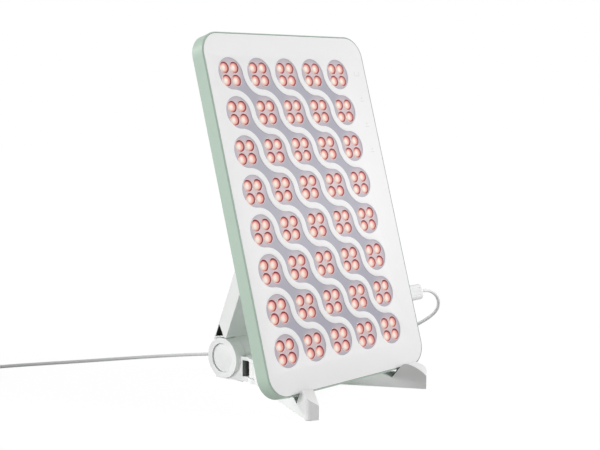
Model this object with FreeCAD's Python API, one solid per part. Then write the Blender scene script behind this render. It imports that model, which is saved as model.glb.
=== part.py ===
import FreeCAD, Part
import math
import os

# Light therapy lamp: a flat panel of lens domes that stands in two notched feet and leans on a hinged arm.
# Millimetres, +Z up, +X to the right, +Y to the rear. The origin is on the floor under the middle of the lamp.

V = FreeCAD.Vector
X_AXIS = V(1, 0, 0)
Y_AXIS = V(0, 1, 0)
Z_AXIS = V(0, 0, 1)

# Panel
panel_width = 201.2
panel_height = 307.65
panel_depth = 13.8
panel_corner = 19.5
panel_lean = 15.78
panel_centre = (0.5, -25.78, 164.76)
frame_wall = 1.0
seal_width = 0.4
seal_depth = 1.6
edge_break = 0.7

# Lens field: clusters of four domes, joined in slanting chains of windows
cluster_pitch = 33.5
cluster_columns = 5
cluster_rows = 8
field_offset = (-6.4, 0.67)
window_radius = 13.9
dome_pitch = cluster_pitch / 3
dome_radius = 4.9
dome_height = 2.2
dome_sides = 8
dome_top_share = 0.55

# Layers of the panel, each by the depth of its front and its thickness
cover_thick = 1.0
plate_thick = 1.4
plate_margin = 2.6
board_front = 3.5
board_thick = 1.6
board_margin = 6.0
control_front = 5.6
control_size = (58.0, 84.0)
control_centre = (62.0, -96.0)
back_thick = 2.0
back_skirt_front = 5.6
back_skirt_wall = 1.6
boss_radius = 3.4
boss_inset = 17.0
screw_radius = 1.4
screw_head_radius = 2.7
screw_head_high = 1.3
vent_slots = 9
vent_size = (2.4, 26.0)
vent_pitch = 7.0
vent_centre_z = 118.0
key_centres_z = (118.7, 94.7, 70.7, 46.7)
key_radius = 5.2
touch_strip_width = 12.0
touch_strip_x = 87.5
touch_strip_thick = 1.0
key_thick = 1.5

# Power inlet and plug on the right edge
inlet_z = -89.53
inlet_depth_centre = 6.6
inlet_size = (17.0, 18.5, 8.2)
plug_length = 19.4
plug_size = (14.5, 8.4)
plug_gap = 0.4
tongue_size = (9.0, 9.4, 3.2)
boot_length = 3.6
boot_radii = (3.3, 2.3)
groove_count = 3
groove_pitch = 3.4
groove_size = (0.9, 0.45)
groove_margin = 3.5
plug_flat = 0.4
plug_end_round = 1.2
tongue_play = 0.2
inlet_wall = 2.0

# Hinge at the back of the hub
hinge_y = 72.0
hinge_z = 19.4
barrel_radius = 18.7
barrel_foot_y = 80.0
barrel_half = 23.5
knuckle_length = 12.0
knuckle_gap = 0.4
mid_radius = 18.1
pin_radius = 3.0
pin_clearance = 0.05
press_clearance = 0.02
pin_end_gap = 0.2
cap_radius = 12.9
cap_recess = 2.8
cap_sink = 1.3
cap_edge_gap = 0.6
cap_crown = 0.9
washer_radius = 9.0
washer_thick = 0.8

# Hub plates that hold the roots of the two legs
floor_gap = 0.6
lower_plate_top = 5.2
root_bottom = 5.6
leg_top_rear = 19.6
upper_plate_bottom = 20.0
upper_plate_top = 23.2
block_front_y = 47.9
hub_waist_half = 17.6
hub_waist_y = 41.0
pivot_x = 10.8
pivot_y = 34.9
root_radius = 10.3
root_relief_radius = 11.4
root_relief_y = 31.9
plate_lobe_radius = 10.9
leg_pin_radius = 2.6
leg_pin_head_radius = 4.6
leg_pin_head = 1.2
bumper_thick = 1.4
bumper_half = 18.5
bumper_wrap_half = 16.9
bumper_wrap_y = 49.8
hub_screw_x = 14.8
hub_screw_y = 50.6
upper_rear_half = 20.6
upper_rear_rise = 4.5
bridge_front_y = 28.9
hub_pad_inner = 13.1
hub_pad_outer = 18.9
hub_pad_front_y = 49.9
hub_pad_rear_y = 76.0

# Legs, by the corners of the left one on the floor
tip_inner = (70.8, -91.0)
outer_wall_x = 47.9
outer_wall_y = -21.9
outer_wall_slope = 0.489
tip_face_angle = 35.0
tip_corner_round = 4.6
leg_top_front = 12.2
leg_top_start_y = -54.0
leg_rise_front_y = -16.0
leg_rise_back_y = 4.0
notch_front = (-72.1, 21.5)
notch_floor = (-64.3, 9.3)
notch_rear = (-58.8, 12.6)
hump_front_z = 12.4
hump_top = (-75.4, 22.6)
hump_shoulder = (-84.4, 18.6)
pad_sink = 0.3
liner_thick = 0.8
liner_reach = (1.2, 11.0)
pad_places = ((73.2, -83.0), (36.5, -12.5))
pad_radii = (3.6, 4.2)

# Arm that holds the panel's back
arm_lean = 22.0
arm_front_offset = 2.5
arm_back_offset = 16.3
arm_length = 196.0
arm_half_low = 23.5
arm_half_high = 19.0
arm_start = 19.4
arm_wall = 2.6
arm_pocket_start = 34.0
arm_pocket_end = 180.0
arm_end_play = 0.1
arm_slab_start = 7.4
arm_neck_end = 23.4
arm_neck_radius = 22.7
arm_top_round = 9.0
arm_screw_places = (46.0, 107.0, 166.0)
arm_cover_play = 0.1
arm_cover_thick = 2.0
scoop_depth = 8.5
scoop_corners = ((27.4, 15.4), (14.4, 15.4), (20.0, 6.6))
arm_foot_gap = 0.9
head_pad_radius = 5.5
head_pad_half = 15.0
head_pad_offset = 6.0
head_pad_gap = 0.4

# Cord, and its coil and far plug on the floor
cord_radius = 1.6
cord_gap = 0.3
cord_lead = 7.4
coil_radius = 18.45
coil_half_width = 6.6
coil_bottom = 0.55
coil_top = 7.15
coil_chamfer = 1.2
coil_centre = (-184.1, 251.3)
tie_thick = 0.5
tie_width = 6.0
tie_room = 0.4
tie_turn = 250.0
tail_length = 24.0
tail_offset = (6.0, 23.2)


def save(name, shape):
    """Write one sub-part, as a solid or a group of solids, to its own file."""
    shape.exportStep(os.path.join("parts", name + ".step"))


def fuse(shapes):
    return shapes[0].multiFuse(shapes[1:]).removeSplitter()


def cylinder(radius, length, base, axis):
    return Part.makeCylinder(radius, length, base, axis)


def box(low, high):
    size = V(*high) - V(*low)
    return Part.makeBox(size.x, size.y, size.z, V(*low))


def prism(points, direction):
    """A flat outline of corner points, pushed along a direction."""
    face = Part.Face(Part.makePolygon(points + [points[0]]))
    return face.extrude(direction)


def rounded_rectangle(width, height, radius, front, depth, centre=(0.0, 0.0)):
    """An upright slab with rounded corners, its front at a depth behind the panel's face."""
    half_w = width / 2
    half_h = height / 2
    cx, cz = centre
    edges = []
    corners = [(1, 1, 0), (-1, 1, 90), (-1, -1, 180), (1, -1, 270)]
    ends = []
    for sx, sz, start in corners:
        mid = V(cx + sx * (half_w - radius), front, cz + sz * (half_h - radius))
        points = []
        for step in (0, 45, 90):
            turn = math.radians(start + step)
            points.append(mid + V(radius * math.cos(turn), 0, radius * math.sin(turn)))
        edges.append(Part.Arc(*points).toShape())
        ends.append((points[0], points[2]))
    for index in range(len(ends)):
        following = ends[(index + 1) % len(ends)]
        edges.append(Part.LineSegment(ends[index][1], following[0]).toShape())
    wire = Part.Wire(Part.__sortEdges__(edges))
    return Part.Face(wire).extrude(V(0, depth, 0))


def lean_panel(shape):
    """Move a shape from the panel's own upright frame to where the leaning panel stands."""
    turn = FreeCAD.Rotation(X_AXIS, -panel_lean)
    placed = shape.copy()
    leaning = FreeCAD.Placement(V(*panel_centre), turn)
    placed.Placement = leaning.multiply(shape.Placement)
    return placed


def panel_point(x, depth, z):
    turn = FreeCAD.Rotation(X_AXIS, -panel_lean)
    return turn.multVec(V(x, depth, z)) + V(*panel_centre)


# Panel pieces, drawn upright with the face at depth zero

inner_width = panel_width - 2 * frame_wall
inner_height = panel_height - 2 * frame_wall
inner_corner = panel_corner - frame_wall


def inlet_space(margin):
    """The block of space round the power inlet, which the edge band and the back cover are cut by."""
    length, height, depth = inlet_size
    half_d = depth / 2 + margin
    half_z = height / 2 + margin
    low = (panel_width / 2 - length - margin, inlet_depth_centre - half_d, inlet_z - half_z)
    high = (panel_width / 2 + 1, inlet_depth_centre + half_d, inlet_z + half_z)
    return box(low, high)


def side_frame():
    outer = rounded_rectangle(panel_width, panel_height, panel_corner, 0, panel_depth)
    rims = [edge for edge in outer.Edges if abs(edge.BoundBox.YLength) < edge_break]
    outer = outer.makeChamfer(edge_break, rims)
    inner = rounded_rectangle(inner_width, inner_height, inner_corner, -1, panel_depth + 2)
    return outer.cut(inner).cut(inlet_space(0))


def face_seal():
    outer = rounded_rectangle(inner_width, inner_height, inner_corner, seal_width / 2, seal_depth)
    grow = 2 * seal_width
    corner = inner_corner - seal_width
    inner = rounded_rectangle(inner_width - grow, inner_height - grow, corner, -1, panel_depth)
    return outer.cut(inner)


def cluster_centre(column, row):
    x = field_offset[0] + (column - (cluster_columns - 1) / 2) * cluster_pitch
    z = field_offset[1] + ((cluster_rows - 1) / 2 - row) * cluster_pitch
    return x, z


def window_neck(column, row):
    """The slanting neck from one window to the next one, down and to the right.

    Its two sides are hollow quarter circles about the neighbouring clusters.
    """
    hollow = cluster_pitch - window_radius
    x, z = cluster_centre(column, row)
    right = V(x + cluster_pitch, 0, z)
    below = V(x, 0, z - cluster_pitch)
    slant = math.sqrt(0.5)
    start = V(x + window_radius, 0, z)
    end = V(x + cluster_pitch, 0, z - hollow)
    middle = right + V(-hollow * slant, 0, -hollow * slant)
    upper = Part.Arc(start, middle, end).toShape()
    low_start = V(x + hollow, 0, z - cluster_pitch)
    low_end = V(x, 0, z - window_radius)
    low_middle = below + V(hollow * slant, 0, hollow * slant)
    lower = Part.Arc(low_start, low_middle, low_end).toShape()
    far = Part.LineSegment(end, low_start).toShape()
    near = Part.LineSegment(low_end, start).toShape()
    face = Part.Face(Part.Wire([upper, far, lower, near]))
    return face.extrude(V(0, panel_depth, 0))


def window_chain(column, row):
    """One chain of windows, followed down to the right until it leaves the field."""
    pieces = []
    while column < cluster_columns and row < cluster_rows:
        x, z = cluster_centre(column, row)
        pieces.append(cylinder(window_radius, panel_depth, V(x, 0, z), Y_AXIS))
        if column + 1 < cluster_columns and row + 1 < cluster_rows:
            pieces.append(window_neck(column, row))
        column += 1
        row += 1
    chain = pieces[0] if len(pieces) == 1 else fuse(pieces)
    chain.translate(V(0, -1, 0))
    return chain


def front_cover():
    shrink = 2 * seal_width
    corner = inner_corner - seal_width
    cover = rounded_rectangle(inner_width - shrink, inner_height - shrink, corner, 0, cover_thick)
    starts = [(column, 0) for column in range(cluster_columns)]
    starts += [(0, row) for row in range(1, cluster_rows)]
    return cover.cut([window_chain(column, row) for column, row in starts])


def lens_plate():
    width = (cluster_columns - 1) * cluster_pitch + 2 * (window_radius + plate_margin)
    height = (cluster_rows - 1) * cluster_pitch + 2 * (window_radius + plate_margin)
    radius = window_radius + plate_margin
    return rounded_rectangle(width, height, radius, cover_thick, plate_thick, field_offset)


def dome(x, z):
    """A plain many-sided dome: a foot ring that narrows to a smaller top."""
    foot = []
    top = []
    for side in range(dome_sides):
        turn = math.tau * (side + 0.5) / dome_sides
        across = V(math.cos(turn), 0, math.sin(turn))
        foot.append(V(x, cover_thick, z) + across * dome_radius)
        top.append(V(x, cover_thick - dome_height, z) + across * dome_radius * dome_top_share)
    outlines = [foot, top]
    for side in range(dome_sides):
        following = (side + 1) % dome_sides
        outlines.append([foot[side], foot[following], top[following], top[side]])
    faces = [Part.Face(Part.makePolygon(outline + [outline[0]])) for outline in outlines]
    solid = Part.Solid(Part.Shell(faces))
    return solid if solid.Volume > 0 else solid.reversed()


def lens_domes():
    domes = []
    for column in range(cluster_columns):
        for row in range(cluster_rows):
            x, z = cluster_centre(column, row)
            for dx in (-0.5, 0.5):
                for dz in (-0.5, 0.5):
                    domes.append(dome(x + dx * dome_pitch, z + dz * dome_pitch))
    return Part.makeCompound(domes)


def lamp_board():
    width = (cluster_columns - 1) * cluster_pitch + 2 * window_radius
    height = (cluster_rows - 1) * cluster_pitch + 2 * window_radius
    return rounded_rectangle(width, height, board_margin, board_front, board_thick, field_offset)


def touch_board():
    top = key_centres_z[0] + touch_strip_width
    bottom = key_centres_z[-1] - touch_strip_width
    half = touch_strip_width / 2
    low = (touch_strip_x - half, cover_thick, bottom)
    high = (touch_strip_x + half, cover_thick + touch_strip_thick, top)
    keys = [cylinder(key_radius, key_thick, V(touch_strip_x, cover_thick, z), Y_AXIS) for z in key_centres_z]
    return fuse([box(low, high)] + keys)


def control_board():
    width, height = control_size
    x, z = control_centre
    half_w = width / 2
    low = (x - half_w, control_front, z - height / 2)
    high = (x + half_w - inlet_size[0], control_front + board_thick, z + height / 2)
    return box(low, high)


def boss_places():
    reach_x = panel_width / 2 - boss_inset
    reach_z = panel_height / 2 - boss_inset
    return [(sx * reach_x, sz * reach_z) for sx in (-1, 1) for sz in (-1, 0, 1)]


def vent_rows():
    """Upright slots through the back, in one row near the top and one near the bottom."""
    width, height = vent_size
    cuts = []
    for end in (-1, 1):
        for index in range(vent_slots):
            x = (index - (vent_slots - 1) / 2) * vent_pitch
            centre = (x, end * vent_centre_z)
            start = panel_depth - back_thick - 1
            cuts.append(rounded_rectangle(width, height, width / 2 - 0.01, start, back_thick + 2, centre))
    return cuts


def back_cover():
    plate_front = panel_depth - back_thick
    skirt_depth = plate_front - back_skirt_front
    plate = rounded_rectangle(inner_width, inner_height, inner_corner, plate_front, back_thick)
    skirt = rounded_rectangle(inner_width, inner_height, inner_corner, back_skirt_front, skirt_depth)
    shrink = 2 * back_skirt_wall
    hollow = rounded_rectangle(
        inner_width - shrink, inner_height - shrink, inner_corner - back_skirt_wall, 0, plate_front)
    skirt = skirt.cut(hollow)
    bosses = [cylinder(boss_radius, skirt_depth, V(x, back_skirt_front, z), Y_AXIS) for x, z in boss_places()]
    shell = fuse([plate, skirt] + bosses)
    holes = [cylinder(screw_radius, panel_depth, V(x, 0, z), Y_AXIS) for x, z in boss_places()]
    sinks = [cylinder(screw_head_radius + 0.1, back_thick, V(x, panel_depth - screw_head_high, z), Y_AXIS)
             for x, z in boss_places()]
    return shell.cut(holes + sinks + vent_rows() + [inlet_space(pin_clearance)])


def back_screws():
    screws = []
    for x, z in boss_places():
        head_start = panel_depth - screw_head_high
        head = cylinder(screw_head_radius, screw_head_high, V(x, head_start, z), Y_AXIS)
        shank_start = back_skirt_front + 1
        shank = cylinder(screw_radius, head_start - shank_start, V(x, shank_start, z), Y_AXIS)
        screws.append(head.fuse(shank))
    return Part.makeCompound(screws)


def slot_block(length, size, start_x):
    """A block about the inlet's axis: length along X, size as height and depth."""
    height, depth = size
    low = (start_x, inlet_depth_centre - depth / 2, inlet_z - height / 2)
    high = (start_x + length, inlet_depth_centre + depth / 2, inlet_z + height / 2)
    return box(low, high)


def power_inlet():
    length, height, depth = inlet_size
    start = panel_width / 2 - length
    body = slot_block(length, (height, depth), start)
    hollow = (tongue_size[1] + tongue_play, tongue_size[2] + tongue_play)
    cavity = slot_block(length, hollow, start + inlet_wall)
    return body.cut(cavity)


def plug():
    """Flat moulded plug along +X: a tongue before the start, and a body with lengthwise grooves."""
    height, depth = plug_size
    body = box((0, -depth / 2, -height / 2), (plug_length, depth / 2, height / 2))
    long_edges = [edge for edge in body.Edges if edge.BoundBox.XLength > 1]
    body = body.makeFillet(depth / 2 - plug_flat, long_edges)
    end_edges = [edge for edge in body.Edges if edge.BoundBox.XMin > plug_length - 0.01]
    body = body.makeFillet(plug_end_round, end_edges)
    cuts = []
    wide, deep = groove_size
    for side in (-1, 1):
        for index in range(groove_count):
            z = (index - (groove_count - 1) / 2) * groove_pitch
            y = side * depth / 2
            low = (groove_margin, y - deep, z - wide / 2)
            high = (plug_length - groove_margin, y + deep, z + wide / 2)
            cuts.append(box(low, high))
    length, tall, thick = tongue_size
    tongue = box((-length, -thick / 2, -tall / 2), (0, thick / 2, tall / 2))
    return body.cut(cuts).fuse(tongue)


def plug_boot():
    return Part.makeCone(*boot_radii, boot_length, V(plug_length, 0, 0), X_AXIS)


def at_inlet(shape):
    """Seat the plug, or a piece on it, in the panel's inlet."""
    shape.translate(V(panel_width / 2 + plug_gap, inlet_depth_centre, inlet_z))
    return shape


def at_far_end(shape):
    """Lay the lead's other plug flat on the floor beside the coil, pointing away from it."""
    shape.rotate(V(0, 0, 0), X_AXIS, 90)
    shape.translate(tail_points()[-1] - V(plug_length + boot_length, 0, 0))
    return shape


# Hub, hinge and legs, drawn where they stand

hinge = V(0, hinge_y, hinge_z)


def mirror_x(shape):
    return shape.mirror(V(0, 0, 0), X_AXIS)


def both_sides(shape):
    return [shape, mirror_x(shape)]


def upright(points, low, high):
    """A plan outline in X and Y, raised from one height to another."""
    return prism([V(x, y, low) for x, y in points], V(0, 0, high - low))


def across(points, half):
    """A side outline in Y and Z, pushed across the lamp to both sides of its middle."""
    return prism([V(-half, y, z) for y, z in points], V(2 * half, 0, 0))


def hinge_cylinder(radius, low_x, high_x):
    return cylinder(radius, high_x - low_x, V(low_x, hinge_y, hinge_z), X_AXIS)


def hub_plan(grow):
    """Half plan of the block between the barrel and the legs, both halves in one outline."""
    wide = barrel_half + grow
    waist = hub_waist_half + grow
    return [(-wide, barrel_foot_y), (-wide, hinge_y), (-waist, hub_waist_y),
            (waist, hub_waist_y), (wide, hinge_y), (wide, barrel_foot_y)]


def leg_pivot(side, z):
    return V(side * pivot_x, pivot_y, z)


def hub_lower():
    """Lower moulding: a floor plate under both leg roots, a block, and the two end knuckles."""
    plate = upright(hub_plan(0), floor_gap, lower_plate_top)
    height = lower_plate_top - floor_gap
    lobes = [cylinder(plate_lobe_radius, height, leg_pivot(side, floor_gap), Z_AXIS) for side in (-1, 1)]
    block = upright(hub_plan(0), floor_gap, upper_plate_bottom)
    behind = box((-barrel_half, block_front_y, 0), (barrel_half, hinge_y, upper_plate_top))
    block = block.common(behind).cut(bumper_seats(lower_plate_top, upper_plate_bottom))
    inner = barrel_half - knuckle_length
    ends = both_sides(hinge_cylinder(barrel_radius, inner, barrel_half))
    body = fuse([plate, block] + lobes + ends)
    middle = hinge_cylinder(mid_radius + knuckle_gap, -inner, inner)
    recesses = both_sides(hinge_cylinder(cap_radius + cap_edge_gap, barrel_half - cap_recess, barrel_half + 1))
    shaft = hinge_cylinder(pin_radius + press_clearance, -barrel_half - 1, barrel_half + 1)
    fit = leg_pin_radius + press_clearance
    pins = [cylinder(fit, upper_plate_top, leg_pivot(side, -1), Z_AXIS) for side in (-1, 1)]
    holes = [cylinder(screw_radius, upper_plate_top, V(x, hub_screw_y, floor_gap + 2), Z_AXIS)
             for x in (-hub_screw_x, hub_screw_x)]
    return body.cut([middle, shaft] + recesses + pins + holes + hub_pads().Solids)


def hub_upper():
    """Cover plate over both leg roots, which rises to meet the barrel behind it."""
    rear = hinge_y - barrel_radius + upper_rear_rise
    outline = [(-upper_rear_half, rear), (-hub_waist_half, hub_waist_y),
               (hub_waist_half, hub_waist_y), (upper_rear_half, rear)]
    plate = upright(outline, upper_plate_bottom, upper_plate_top)
    height = upper_plate_top - upper_plate_bottom
    lobes = [cylinder(plate_lobe_radius, height, leg_pivot(side, upper_plate_bottom), Z_AXIS) for side in (-1, 1)]
    bridge = upright([(-pivot_x, hub_waist_y), (-pivot_x, bridge_front_y), (pivot_x, bridge_front_y),
                      (pivot_x, hub_waist_y)], upper_plate_bottom, upper_plate_top)
    body = fuse([plate, bridge] + lobes)
    body = body.cut(hinge_cylinder(barrel_radius + pin_clearance, -barrel_half - 1, barrel_half + 1))
    fit = leg_pin_radius + press_clearance
    pins = [cylinder(fit, upper_plate_top, leg_pivot(side, 1), Z_AXIS) for side in (-1, 1)]
    sink = leg_pin_head_radius + press_clearance
    heads = [cylinder(sink, 2, leg_pivot(side, upper_plate_top - leg_pin_head), Z_AXIS) for side in (-1, 1)]
    holes = [cylinder(screw_radius, upper_plate_top, V(x, hub_screw_y, 1), Z_AXIS)
             for x in (-hub_screw_x, hub_screw_x)]
    sinks = [cylinder(screw_head_radius, 2, V(x, hub_screw_y, upper_plate_top - screw_head_high), Z_AXIS)
             for x in (-hub_screw_x, hub_screw_x)]
    return body.cut(pins + heads + holes + sinks)


def hub_screws():
    screws = []
    for x in (-hub_screw_x, hub_screw_x):
        low = floor_gap + 4
        top = upper_plate_top - screw_head_high
        shank = cylinder(screw_radius, top - low, V(x, hub_screw_y, low), Z_AXIS)
        head = cylinder(screw_head_radius, screw_head_high, V(x, hub_screw_y, top), Z_AXIS)
        screws.append(shank.fuse(head))
    return Part.makeCompound(screws)


def bumper_seats(low_z, high_z, outer=barrel_half):
    """The space at the block's two front corners that the bumper's ends wrap round."""
    return both_sides(box((bumper_wrap_half, block_front_y, low_z), (outer, bumper_wrap_y, high_z)))


def leg_bumper():
    """Dark soft strip on the block's front, behind the two leg roots, with its ends wrapped round the corners."""
    low = (-bumper_half, block_front_y - bumper_thick, root_bottom)
    strip = box(low, (bumper_half, block_front_y, leg_top_rear))
    return fuse([strip] + bumper_seats(root_bottom, leg_top_rear, bumper_half))


def leg_pins():
    pins = []
    for side in (-1, 1):
        shank = cylinder(leg_pin_radius, upper_plate_top - leg_pin_head - 1, leg_pivot(side, 1), Z_AXIS)
        start = upper_plate_top - leg_pin_head
        head = cylinder(leg_pin_head_radius, leg_pin_head, leg_pivot(side, start), Z_AXIS)
        pins.append(shank.fuse(head))
    return Part.makeCompound(pins)


def hinge_pin():
    reach = barrel_half - cap_recess - pin_end_gap
    return hinge_cylinder(pin_radius, -reach, reach)


def hinge_cap():
    """Shallow domed disc in the right end's recess. The left one is its mirror image."""
    start = barrel_half - cap_recess
    face = barrel_half - cap_sink
    disc = hinge_cylinder(cap_radius, start, face)
    sphere_radius = (cap_radius ** 2 + cap_crown ** 2) / (2 * cap_crown)
    ball = Part.makeSphere(sphere_radius, V(face + cap_crown - sphere_radius, hinge_y, hinge_z))
    crown = ball.common(hinge_cylinder(cap_radius, start, face + cap_crown))
    return disc.fuse(crown).removeSplitter()


def hinge_washers():
    inner = barrel_half - knuckle_length
    rings = []
    bore = hinge_cylinder(pin_radius + press_clearance, -barrel_half, barrel_half)
    for low in (-inner, inner - washer_thick):
        ring = hinge_cylinder(washer_radius, low, low + washer_thick)
        rings.append(ring.cut(bore))
    return Part.makeCompound(rings)


def outer_wall_at(y):
    return outer_wall_x + (outer_wall_y - y) * outer_wall_slope


def leg_plan():
    """Plan corners of the right leg: root, inner wall tangent to the root, tip and outer wall."""
    tip = V(tip_inner[0], tip_inner[1], 0)
    root = V(pivot_x, pivot_y, 0)
    reach = (root - tip).Length
    sweep = math.atan2(tip.x - root.x, root.y - tip.y) + math.asin(root_radius / reach)
    inner_root = root + V(-math.cos(sweep), -math.sin(sweep), 0) * root_radius
    face = V(math.cos(math.radians(tip_face_angle)), math.sin(math.radians(tip_face_angle)), 0)
    room = outer_wall_at(tip.y) - tip.x
    width = room / (face.x + face.y * outer_wall_slope)
    tip_outer = tip + face * width
    outer_root = V(outer_wall_at(pivot_y), pivot_y, 0)
    return [inner_root, tip, tip_outer, outer_root]


def leg_side():
    """Side outline of a leg: the hook with its curved back, the notch, and the rise to the root."""
    y_tip = tip_inner[1]
    low = floor_gap
    y_end = pivot_y + root_radius + 1
    start = V(0, y_tip, hump_front_z)
    hump = Part.Arc(start, V(0, *hump_shoulder), V(0, *hump_top)).toShape()
    brow = Part.LineSegment(V(0, *hump_top), V(0, *notch_front)).toShape()
    corners = [notch_front, notch_floor, notch_rear, (leg_top_start_y, leg_top_front),
               (leg_rise_front_y, leg_top_front), (leg_rise_back_y, leg_top_rear), (y_end, leg_top_rear),
               (y_end, low), (y_tip, low), (y_tip, hump_front_z)]
    rest = Part.makePolygon([V(0, y, z) for y, z in corners])
    return Part.Face(Part.Wire([hump, brow] + rest.Edges))


def leg_right():
    corners = leg_plan()
    body = prism(corners, V(0, 0, upper_plate_top))
    tip_edges = [edge for edge in body.Edges
                 if edge.BoundBox.ZLength > 1 and (edge.BoundBox.Center - corners[2]).Length < upper_plate_top
                 and abs(edge.BoundBox.Center.x - corners[2].x) < 0.1]
    body = body.makeFillet(tip_corner_round, tip_edges)
    body = body.fuse(cylinder(root_radius, upper_plate_top, leg_pivot(1, 0), Z_AXIS))
    side = leg_side().extrude(V(panel_width, 0, 0))
    body = body.common(side)
    under = cylinder(root_relief_radius, root_bottom, leg_pivot(1, 0), Z_AXIS)
    pads = foot_pads(1).Solids
    behind = box((0, root_relief_y, 0), (panel_width, hinge_y, root_bottom))
    bore = cylinder(leg_pin_radius + pin_clearance, upper_plate_top, leg_pivot(1, 0), Z_AXIS)
    return body.cut([under, behind, bore] + pads).removeSplitter()


def foot_pads(side):
    """Two rubber discs let into the underside of one leg."""
    top = floor_gap + pad_sink
    return Part.makeCompound([
        cylinder(radius, top, V(side * x, y, 0), Z_AXIS) for (x, y), radius in zip(pad_places, pad_radii)])


def hub_pads():
    """Rubber strips under the hub, one beside each end knuckle."""
    low = (hub_pad_inner, hub_pad_front_y, 0)
    strip = box(low, (hub_pad_outer, hub_pad_rear_y, floor_gap + pad_sink))
    return Part.makeCompound(both_sides(strip))


def notch_liner(side):
    """Thin soft lining on the front wall and the floor of one leg's notch."""
    floor_y, floor_z = notch_floor
    front_y, front_z = notch_front
    slope = V(0, front_y - floor_y, front_z - floor_z)
    slope.normalize()
    normal = V(0, slope.z, -slope.y)
    near, far = liner_reach
    start = V(0, floor_y, floor_z) + slope * near
    end = V(0, floor_y, floor_z) + slope * far
    corners = [start, end, end + normal * liner_thick, start + normal * liner_thick]
    strip = prism(corners, V(panel_width, 0, 0))
    plan = prism(leg_plan(), V(0, 0, upper_plate_top))
    strip = strip.common(plan)
    return strip if side > 0 else mirror_x(strip)


# Arm, drawn along its own lean about the hinge

arm_along = V(0, -math.sin(math.radians(arm_lean)), math.cos(math.radians(arm_lean)))
arm_back = V(0, math.cos(math.radians(arm_lean)), math.sin(math.radians(arm_lean)))


def arm_point(x, along, back):
    return hinge + V(x, 0, 0) + arm_along * along + arm_back * back


def arm_slab(half_low, half_high, low, high, front, back):
    """A slab of the arm whose half width narrows evenly from one end to the other."""
    corners = [arm_point(-half_low, low, front), arm_point(half_low, low, front),
               arm_point(half_high, high, front), arm_point(-half_high, high, front)]
    return prism(corners, arm_back * (back - front))


def arm_half_at(along):
    share = (along - arm_start) / (arm_length - arm_start)
    return arm_half_low + (arm_half_high - arm_half_low) * share


def support_arm():
    """Upright moulding: the middle knuckle of the hinge and the hollow arm above it."""
    inner = barrel_half - knuckle_length - washer_thick - arm_end_play
    slab = arm_slab(arm_half_low, arm_half_high, arm_slab_start, arm_length, arm_front_offset, arm_back_offset)
    slab = round_arm_top(slab)
    slab = slab.cut(hinge_cylinder(barrel_radius + arm_foot_gap, -barrel_half - 1, barrel_half + 1))
    knuckle = hinge_cylinder(mid_radius, -inner, inner)
    neck = arm_slab(inner, inner, 0, arm_neck_end, arm_front_offset, arm_back_offset)
    neck = neck.common(hinge_cylinder(arm_neck_radius, -inner, inner))
    body = fuse([slab, neck, knuckle])
    pocket_low = arm_half_at(arm_pocket_start) - arm_wall
    pocket_high = arm_half_at(arm_pocket_end) - arm_wall
    pocket = arm_slab(pocket_low, pocket_high, arm_pocket_start, arm_pocket_end,
                      arm_front_offset + arm_wall, arm_back_offset + 1)
    shaft = hinge_cylinder(pin_radius + pin_clearance, -barrel_half, barrel_half)
    body = body.cut([pocket, shaft, pad_seat()] + both_sides(arm_scoop()))
    posts = [cylinder(boss_radius, arm_back_offset - arm_cover_thick - arm_front_offset - 1,
                      arm_point(0, along, arm_front_offset + 1), arm_back) for along in arm_screw_places]
    body = body.fuse(posts)
    holes = [cylinder(screw_radius, arm_back_offset, arm_point(0, along, arm_front_offset + 3), arm_back)
             for along in arm_screw_places]
    return body.cut(holes).removeSplitter()


def round_arm_top(slab):
    """Round the two upper corners of the arm, seen from the front, and soften its long edges."""
    def is_top_side(edge):
        middle = edge.BoundBox.Center - hinge
        across_thickness = edge.Length < arm_back_offset - arm_front_offset + 1
        return across_thickness and middle.dot(arm_along) > arm_length - 1 and abs(middle.x) > 5
    corners = [edge for edge in slab.Edges if is_top_side(edge)]
    return slab.makeFillet(arm_top_round, corners)


def arm_scoop():
    """Triangular hollow in the right side of the arm, just above its foot."""
    half = barrel_half + 1
    points = [arm_point(half - scoop_depth, along, back) for along, back in scoop_corners]
    return prism(points, V(scoop_depth + 1, 0, 0))


def arm_cover():
    low = arm_half_at(arm_pocket_start) - arm_wall - arm_cover_play
    high = arm_half_at(arm_pocket_end) - arm_wall - arm_cover_play
    plate = arm_slab(low, high, arm_pocket_start + arm_cover_play, arm_pocket_end - arm_cover_play,
                     arm_back_offset - arm_cover_thick, arm_back_offset)
    holes = [cylinder(screw_radius, arm_cover_thick + 2, arm_point(0, along, arm_back_offset - 3), arm_back)
             for along in arm_screw_places]
    sinks = [cylinder(screw_head_radius, arm_cover_thick, arm_point(0, along, arm_back_offset - screw_head_high),
                      arm_back) for along in arm_screw_places]
    return plate.cut(holes + sinks)


def arm_screws():
    screws = []
    for along in arm_screw_places:
        shank_start = arm_front_offset + 5
        head_start = arm_back_offset - screw_head_high
        shank = cylinder(screw_radius, head_start - shank_start, arm_point(0, along, shank_start), arm_back)
        head = cylinder(screw_head_radius, screw_head_high, arm_point(0, along, head_start), arm_back)
        screws.append(shank.fuse(head))
    return Part.makeCompound(screws)


def head_pad_reach():
    """How far along the arm the soft bar lies, so that it just clears the panel's back."""
    normal = panel_point(0, 1, 0) - panel_point(0, 0, 0)
    start = hinge + arm_back * head_pad_offset - panel_point(0, panel_depth, 0)
    return (head_pad_radius + head_pad_gap - normal.dot(start)) / normal.dot(arm_along)


def head_pad_bar(radius, half):
    centre = hinge + arm_along * head_pad_reach() + arm_back * head_pad_offset
    return cylinder(radius, 2 * half, centre - V(half, 0, 0), X_AXIS)


def pad_seat():
    return head_pad_bar(head_pad_radius, head_pad_half)


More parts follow.
